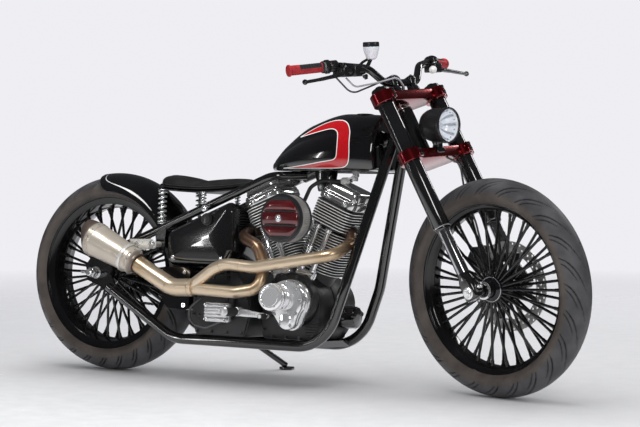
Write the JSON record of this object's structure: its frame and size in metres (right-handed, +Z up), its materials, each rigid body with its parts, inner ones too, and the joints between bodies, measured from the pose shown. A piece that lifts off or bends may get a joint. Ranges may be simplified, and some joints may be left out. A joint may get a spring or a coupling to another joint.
{
  "type": "chopper motorcycle",
  "caption": "Hardtail chopper motorcycle with a V-twin engine, spoked wheels, wide bars and a short rear fender, parked leaning on its side stand.",
  "frame": {"origin": "on the ground, under the centre of the parked machine's outline", "axes": "+X forward, +Y to the rider's left, +Z up"},
  "size_m": [2.2125, 0.8208, 1.1507],
  "materials": {
    "frame_paint": "gloss black enamel",
    "tank_paint": "gloss black enamel with a red band",
    "saddle_leather": "black leather",
    "spring_chrome": "bright chrome",
    "engine_black": "black engine enamel",
    "polished_alloy": "polished",
    "filter_mesh": "pleated steel gauze",
    "cover_red": "dark red",
    "chain_steel": "oiled steel",
    "header_bronze": "heat tinted",
    "muffler_steel": "satin",
    "bracket_alloy": "machined",
    "brake_dark": "dark",
    "yoke_red": "satin red anodised",
    "fork_black": "gloss black",
    "lamp_glass": "clear",
    "grip_red": "red rubber",
    "lever_black": "satin black",
    "hose_steel": "braided",
    "rim_black": "gloss black",
    "tyre_rubber": "rubber"
  },
  "bodies": {
    "frame": {"backbone": "frame_paint", "loop_right": "frame_paint", "loop_left": "frame_paint", "upper_stays": "frame_paint", "axle_plates": "frame_paint", "crossmembers": "frame_paint", "rear_axle": "spring_chrome", "fuel_tank": "tank_paint", "saddle": "saddle_leather", "seat_pan": "frame_paint", "seat_springs": "spring_chrome", "rear_fender": "frame_paint", "oil_tank": "frame_paint", "battery_box": "frame_paint", "crankcase": "engine_black", "cam_cover": "polished_alloy", "primary_cover": "engine_black", "cylinders": "engine_black", "cylinder_heads": "engine_black", "pushrod_tubes": "spring_chrome", "intake": "engine_black", "air_filter": "filter_mesh", "air_cleaner_cover": "cover_red", "gearbox": "engine_black", "drive_chain": "chain_steel", "front_header": "header_bronze", "rear_header": "header_bronze", "muffler": "muffler_steel", "muffler_bracket": "bracket_alloy", "right_foot_control": "bracket_alloy", "left_foot_control": "bracket_alloy", "oil_filter": "engine_black"},
    "steering": {"lower_yoke": "yoke_red", "top_yoke": "yoke_red", "fork_outer_tubes": "fork_black", "fork_legs": "fork_black", "front_axle": "spring_chrome", "headlight": "fork_black", "headlight_lens": "lamp_glass", "handlebar": "frame_paint", "grips": "grip_red", "brake_lever_set": "lever_black", "clutch_lever_set": "lever_black", "front_caliper": "brake_dark", "control_lines": "hose_steel"},
    "front_wheel": {"front_tyre": "tyre_rubber", "front_rim": "rim_black", "front_hub": "rim_black", "front_spokes": "rim_black", "front_disc": "brake_dark"},
    "rear_wheel": {"rear_tyre": "tyre_rubber", "rear_rim": "rim_black", "rear_hub": "rim_black", "rear_spokes": "rim_black", "rear_sprocket": "chain_steel"},
    "side_stand": {"side_stand": "frame_paint"}
  },
  "joints": [
    {"name": "steering_turn", "type": "hinge", "parent": "frame", "child": "steering", "pos_m": [0.42063, -0.0105, 0.85055], "axis": [-0.4904, 0.0608, 0.8694], "range_deg": [-16.2, 43.8]},
    {"name": "front_wheel_spin", "type": "hinge", "parent": "steering", "child": "front_wheel", "pos_m": [0.75827, -0.05752, 0.35414], "axis": [0.2085, 0.9768, 0.0493], "continuous": true},
    {"name": "rear_wheel_spin", "type": "hinge", "parent": "frame", "child": "rear_wheel", "pos_m": [-0.75983, -0.04578, 0.34588], "axis": [0, 0.9976, -0.0698], "continuous": true},
    {"name": "side_stand_fold", "type": "hinge", "parent": "frame", "child": "side_stand", "pos_m": [-0.29981, 0.11055, 0.11596], "axis": [-0.0001, 0.6741, 0.7387], "range_deg": [0, 113]}
  ]
}
